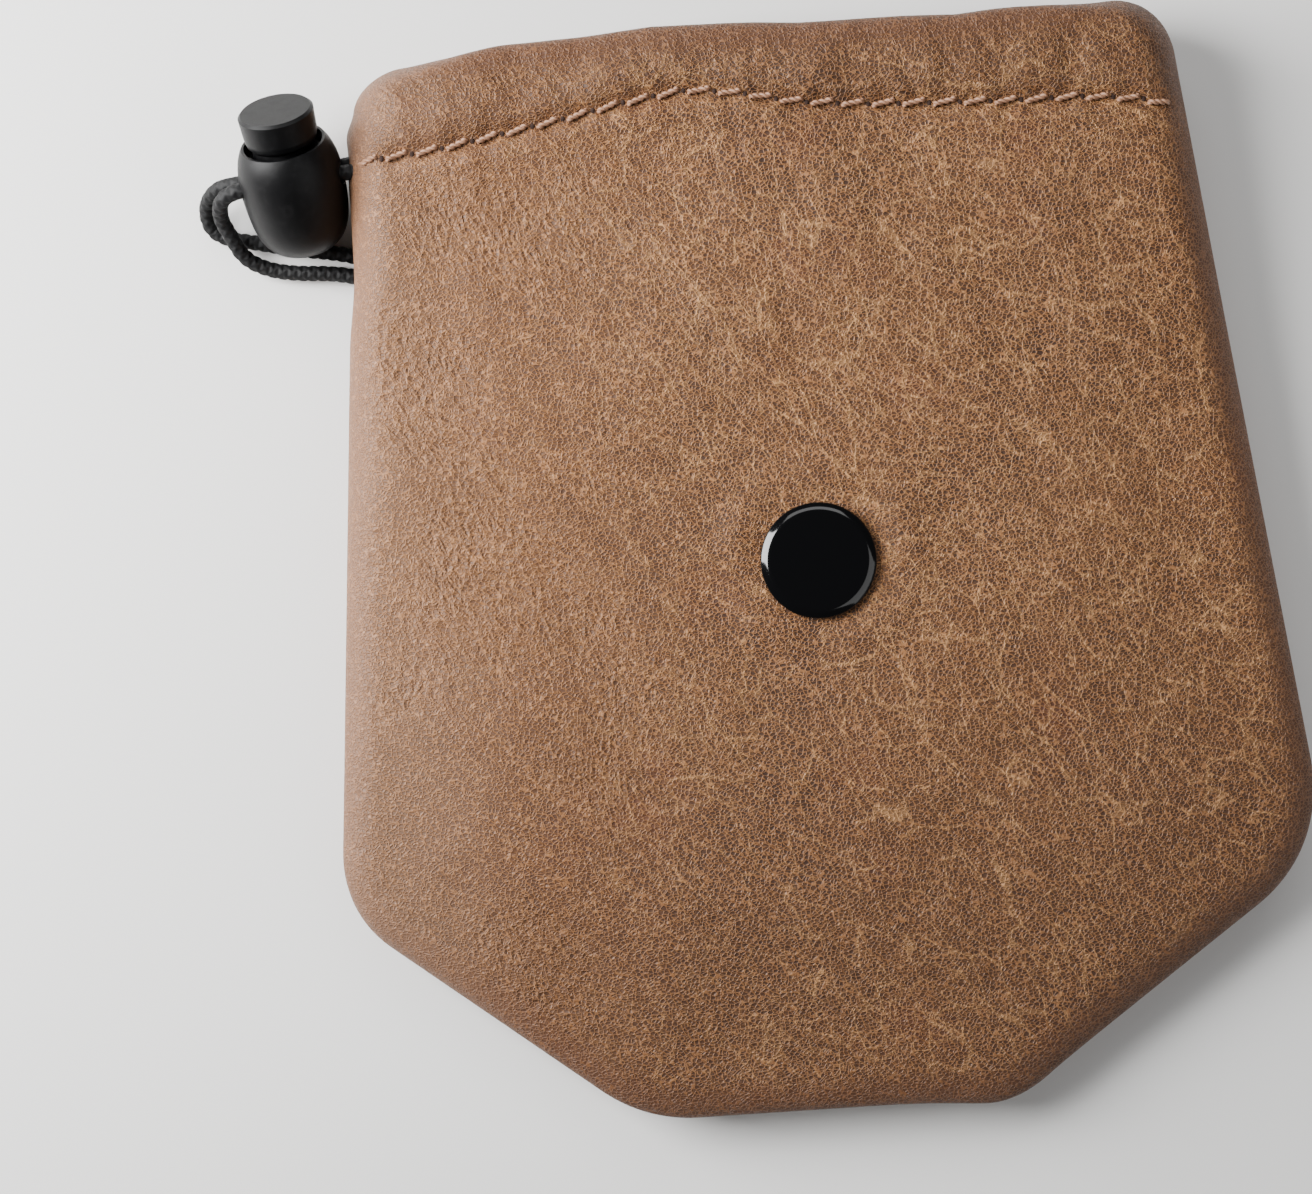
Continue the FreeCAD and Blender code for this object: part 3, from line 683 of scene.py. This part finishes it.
def cord_curve(name, route):
    """NURBS spline whose control points are the cord's route."""
    data = bpy.data.curves.new(name, "CURVE")
    data.dimensions = "3D"
    data.resolution_u = 24
    spline = data.splines.new("NURBS")
    spline.points.add(len(route) - 1)
    for point, place in zip(spline.points, route):
        point.co = (*(np.asarray(place, float) * MM), 1)
    spline.order_u = 3
    spline.use_endpoint_u = True
    thing = bpy.data.objects.new(name, data)
    bpy.context.scene.collection.objects.link(thing)
    return thing


def centreline(route):
    """Points in millimetres along the cord's spline, read from Blender."""
    thing = cord_curve("route", route)
    bpy.context.view_layer.update()
    line = bpy.data.meshes.new_from_object(thing)
    places = np.empty(len(line.vertices) * 3)
    line.vertices.foreach_get("co", places)
    bpy.data.meshes.remove(line)
    curve = thing.data
    bpy.data.objects.remove(thing)
    bpy.data.curves.remove(curve)
    return places.reshape(-1, 3) / MM


def resampled(line, step):
    """Points at even steps along a line, and how far along it each one is."""
    lengths = np.linalg.norm(np.diff(line, axis=0), axis=1)
    far = np.concatenate([[0], np.cumsum(lengths)])
    places = np.linspace(0, far[-1], int(round(far[-1] / step)) + 1)
    return np.stack([np.interp(places, far, line[:, k]) for k in range(3)], axis=1), places


def carried_frames(line):
    """Two directions across a line at each point, carried along it without twist.

    Each is the one before, less its part along the line.
    """
    forward = np.gradient(line, axis=0)
    forward /= np.linalg.norm(forward, axis=1, keepdims=True)
    side = np.cross(forward[0], [0.3, 0.2, 1.0])
    sides = []
    for direction in forward:
        side = side - direction * (side @ direction)
        side = side / np.linalg.norm(side)
        sides.append(side)
    sides = np.array(sides)
    return sides, np.cross(forward, sides)


def braided_tube(name, line, diameter, material, around=24, step=0.12):
    """Round braid along a line, with UV round and along it.

    Four strands wind each way. The radius is 0.86 of the cord's own, plus 0.18 times the square of the
    higher of the two ridges, each of which is the size of the sine of half its strands' angle.
    """
    line, far = resampled(line, step)
    sides, ups = carried_frames(line)
    turn = np.linspace(0, 2 * math.pi, around, endpoint=False)
    strands, pitch = 4, 5.2
    right = strands * turn + 2 * math.pi * far[:, None] * strands / pitch
    left = strands * turn - 2 * math.pi * far[:, None] * strands / pitch
    ridge = np.maximum(np.abs(np.sin(right / 2)), np.abs(np.sin(left / 2)))
    radius = diameter / 2 * (0.86 + 0.18 * ridge ** 2)
    points = line[:, None] + radius[..., None] * (np.cos(turn)[:, None] * sides[:, None]
                                                  + np.sin(turn)[:, None] * ups[:, None])
    first, last = (np.repeat(end, around, axis=0)[None] for end in (line[:1], line[-1:]))
    rows = np.concatenate([first, points, last])
    lengths = np.concatenate([far[:1], far, far[-1:]])[:, None]
    uv = np.stack(np.broadcast_arrays(turn / (2 * math.pi), lengths), axis=-1)
    return make_piece(name, rows, sheet_faces(len(rows), around, True), material, uv)


def braid_finish():
    """Black braided cord: each yarn a shade different, with fine fibres."""
    f = Finish("black_braid")
    fibres = f.noise(9.0, 3.0, 0.6)
    patch = f.noise(1.1, 2.0, 0.5)
    colour = f.mix(fibres * 0.6 + patch * 0.4, srgb(3, 3, 4), srgb(17, 17, 18))
    return f.surface(Base_Color=colour, Roughness=0.62, Normal=f.bump(fibres, 0.05, 0.8),
                     Specular_IOR_Level=0.3)


def thread_finish():
    """Waxed thread, pale and a little pink, with its plies' fibres."""
    f = Finish("pale_thread")
    fibres = f.noise(7.0, 3.0, 0.6)
    colour = f.mix(fibres, srgb(112, 74, 54), srgb(182, 138, 108))
    return f.surface(Base_Color=colour, Roughness=0.5, Normal=f.bump(fibres, 0.03, 0.7))


def tails(material):
    """The two tails of the drawstring, from the hem through the lock and under the bag to their knot."""
    ground = np.array([LOCK_MIDDLE[0], LOCK_MIDDLE[1], 0])
    offsets = {
        "upper": [(-9.5, -2.2, 8.9), (-10.1, -4.1, 5.8), (-9.2, -6.0, 4.3), (-7.9, -9.0, 2.3),
                  (-4.8, -10.6, 1.06), (-1.0, -11.3, 1.06), (4.2, -11.6, 1.06), (9.2, -13.0, 1.06),
                  (14.2, -15.6, 1.1), (19.0, -18.9, 1.6), (22.9, -20.2, 2.8)],
        "lower": [(-10.3, -0.3, 6.6), (-12.3, -2.0, 3.6), (-12.2, -4.7, 1.5), (-10.2, -6.1, 1.06),
                  (-7.0, -6.7, 1.06), (-1.0, -8.1, 1.06), (4.8, -9.0, 1.06), (9.5, -10.4, 1.06),
                  (14.6, -12.9, 1.1), (19.8, -16.2, 1.9), (23.2, -18.0, 2.8)],
    }
    knot = overhand_knot(material)
    for label, side in (("upper", 1), ("lower", -1)):
        middle = LOCK_MIDDLE + STACK_AXIS * side * CORD_PITCH / 2
        start = middle - CORD_AXIS * CORD_INTO_LOCK
        through = middle + CORD_AXIS * 7.5
        route = [start, middle + CORD_AXIS * 5.0, through] + [ground + offset for offset in offsets[label]]
        line = centreline(route)
        tail = braided_tube("tail_" + label, line, CORD, material)
        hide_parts("drawstring_tail_" + label)
        (start * MM).tolist()
        (start * MM).tolist()
        (through * MM).tolist()
        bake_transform(tail)


def cord_in_hem(material):
    """The drawstring along the front's hem and back along the back's, in two pieces.

    The front one comes back, to be kept with the front leather's pieces.
    """
    front_z, back_z, right = 12.3, 2.35, 47.2
    straight = CORD_AXIS * 3.0
    ends = [LOCK_MIDDLE + STACK_AXIS * side * CORD_PITCH / 2 - CORD_AXIS * CORD_INTO_LOCK
            for side in (1, -1)]
    route = [ends[0], ends[0] - straight,
             (-48.4, 56.9, front_z), (-39, 59.2, front_z), (-20, 61.8, front_z), (4, 62.6, front_z),
             (26, 61.6, front_z), (right - 3.2, 60.6, front_z), (right, 60.2, front_z - 3.0),
             (right, 60.4, back_z + 3.0), (right - 3.2, 61.0, back_z), (26, 62.6, back_z),
             (4, 63.8, back_z), (-20, 64.2, back_z), (-39, 63.4, back_z), (-48.2, 60.6, back_z),
             ends[1] - straight, ends[1]]
    line, _ = resampled(centreline(route), 0.25)
    turning = int(np.argmin(np.abs(line[:, 2] - SEAM_Z) + 100 * (line[:, 0] < 40)))
    front = braided_tube("drawstring_front", line[:turning + 1], CORD, material, 16, 0.25)
    back = braided_tube("drawstring_back", line[turning:], CORD, material, 16, 0.25)
    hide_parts("drawstring")
    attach(back, "bag")
    return front


def overhand_knot(material):
    """Overhand knot of the doubled cord: a small closed trefoil, drawn tight.

    Its line is (sin a + 2 sin 2a, cos a - 2 cos 2a, -sin 3a), each scaled to millimetres.
    """
    turn = np.linspace(0, 2 * math.pi, 260)
    middle = np.array([*(LOCK_MIDDLE[:2] + TO_KNOT), 3.0])
    x = np.sin(turn) + 2 * np.sin(2 * turn)
    y = np.cos(turn) - 2 * np.cos(2 * turn)
    z = -np.sin(3 * turn)
    line = middle + np.stack([x * 1.06, y * 0.95, z * 1.25], axis=-1)
    knot = braided_tube("tail_knot_wrap", line, 3.0, material, 24, 0.16)
    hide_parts("tail_knot")
    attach(knot, "cord_lock")
    return knot


# ---- the snap's caps and the lock ----

def enamel_finish():
    """Glossy black enamel over steel, with faint waves and fine dust in its roughness."""
    f = Finish("black_enamel")
    waves = f.noise(0.35, 2.0, 0.5)
    dust = f.ramp(f.noise(12.0, 2.0, 0.5), 0.60, 0.75)
    return f.surface(Base_Color=srgb(5, 5, 6), Roughness=0.10 + 0.10 * dust,
                     Normal=f.bump(waves, 0.05, 0.5), Coat_Weight=0.2, Coat_Roughness=0.04)


def plastic_finish():
    """Satin black moulded plastic with a very fine spark texture and a little wear."""
    f = Finish("black_plastic")
    spark = f.noise(11.0, 3.0, 0.6)
    wear = f.ramp(f.noise(0.9, 3.0, 0.6), 0.45, 0.75)
    return f.surface(Base_Color=f.mix(wear, srgb(7, 7, 8), srgb(15, 15, 16)), Specular_IOR_Level=0.19,
                     Roughness=0.36 + 0.14 * spark + 0.06 * wear, Normal=f.bump(spark, 0.012, 0.8))


def steel_finish(name, colour, roughness):
    """Plated steel with fine scratches."""
    f = Finish(name)
    scratch = f.noise(4.0, 3.0, 0.6, place=f.stretch(f.place, 0, (1, 1, 6)))
    return f.surface(Base_Color=f.mix(scratch, colour, tuple(0.8 * v for v in colour)), Metallic=1.0,
                     Roughness=roughness + 0.10 * scratch, Normal=f.bump(scratch, 0.01, 0.5))


def snap_cap(name, front, body, node, material):
    """Flat cap with a rounded edge that curls in under the rim."""
    high = SEAT_Z + CAP_HEIGHT if front else BACK_SEAT_Z
    low = high - CAP_HEIGHT
    top, bottom = (high, low) if front else (low, high)
    toward = 1 if front else -1
    outline = rounded([(0.001, top), (3.0, top - 0.02 * toward), (CAP_RADIUS - 0.9, top - 0.10 * toward),
                       (CAP_RADIUS, top - 0.75 * toward), (CAP_RADIUS - 0.12, bottom + 0.25 * toward),
                       (CAP_RADIUS - 0.55, bottom), (0.001, bottom)], 0.9)
    piece = turned(name, outline[::-1] if front else outline, material)
    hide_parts(node)
    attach(piece, body)
    return piece


def paint_nodes(finishes):
    """Gives each CAD node that stays its finish."""
    for name, material in finishes.items():
        node = frame["nodes"][name]
        node.data.materials.clear()
        node.data.materials.append(material)
        node.data.polygons.foreach_set("use_smooth", np.ones(len(node.data.polygons), bool))


def pressed_spring(material):
    """Coil spring under the plunger: a copy of the CAD node's mesh with the spring's finish, tied to the
    lock.
    """
    mesh = frame["nodes"]["lock_spring"].data.copy()
    mesh.materials.clear()
    mesh.materials.append(material)
    spring = bpy.data.objects.new("lock_spring_coil", mesh)
    bpy.context.scene.collection.objects.link(spring)
    points = np.empty(3 * len(mesh.vertices))
    mesh.vertices.foreach_get("co", points)
    heights = points.reshape(-1, 3) @ LOCK_AXIS
    seat = points.reshape(-1, 3)[heights.argmin()]
    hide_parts("lock_spring")
    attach(spring, "cord_lock")
    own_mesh(spring)


# ---- floor and light ----

def stage():
    """Pale floor, a window low on the left, two soft lamps and a faint cool room."""
    half, below = 1.5, -0.0003
    mesh = bpy.data.meshes.new("floor")
    corners = [(-half, -half, below), (half, -half, below), (half, half, below), (-half, half, below)]
    mesh.from_pydata(corners, [], [(0, 1, 2, 3)])
    paper = Finish("pale_floor")
    mesh.materials.append(paper.surface(Base_Color=srgb(236, 235, 233), Roughness=0.85))
    floor = bpy.data.objects.new("floor", mesh)
    bpy.context.scene.collection.objects.link(floor)
    for name, place, size, power, aim in [
            ("window", (-0.28, 0.10, 0.19), (0.20, 0.28), 4.1, (0.01, 0, 0)),
            ("fill", (0.46, -0.24, 0.42), (0.6, 0.6), 1.5, (0, 0, 0)),
            ("far", (0.02, 0.46, 0.42), (0.6, 0.3), 1.5, (0, 0, 0))]:
        data = bpy.data.lights.new(name, "AREA")
        data.shape = "RECTANGLE"
        data.size, data.size_y = size
        data.energy = power
        lamp = bpy.data.objects.new(name, data)
        direction = np.array(aim, float) - np.array(place)
        lamp.location = place
        lamp.rotation_euler = Vector(direction.tolist()).to_track_quat("-Z", "Y").to_euler()
        bpy.context.scene.collection.objects.link(lamp)
    world = bpy.data.worlds.new("room")
    world.use_nodes = True
    background = world.node_tree.nodes["Background"]
    background.inputs["Color"].default_value = (0.92, 0.95, 1.0, 1)
    background.inputs["Strength"].default_value = 0.07
    bpy.context.scene.world = world


# ---- the whole bag ----

camera()
black = braid_finish()
tails(black)
front_cord = cord_in_hem(black)

leather = tan_leather()
front_leather = leather_panel("front_leather", True, leather)
back_leather = leather_panel("back_leather", False, leather)
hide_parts("front_panel")
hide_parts("back_panel")
# dark is the painted shade for the stitches' holes
thread, dark = thread_finish(), hole_shade_finish()
front_pieces = [front_leather, front_cord]
for front in (True, False):
    stitches, holes = thread_stitches("hem_stitches_" + ("front" if front else "back"), front, thread, dark)
    if front:
        front_pieces += [stitches, holes]
    else:
        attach(stitches, "bag")
        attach(holes, "bag")
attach(back_leather, "bag")
for piece in front_pieces:
    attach(piece, "bag")
    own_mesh(piece)

enamel = enamel_finish()
snap_cap("snap_cap_front", True, "snap_front", "snap_front_cap", enamel)
snap_cap("snap_cap_back", False, "bag", "snap_back_cap", enamel)
plastic = plastic_finish()
steel = steel_finish("nickel_steel", srgb(190, 188, 182), 0.28)
spring_steel = steel_finish("spring_wire", srgb(170, 170, 172), 0.32)
paint_nodes({"lock_barrel": plastic, "lock_plunger": plastic, "snap_socket": steel, "snap_stud": steel,
             "snap_spring": spring_steel})
pressed_spring(spring_steel)

stage()
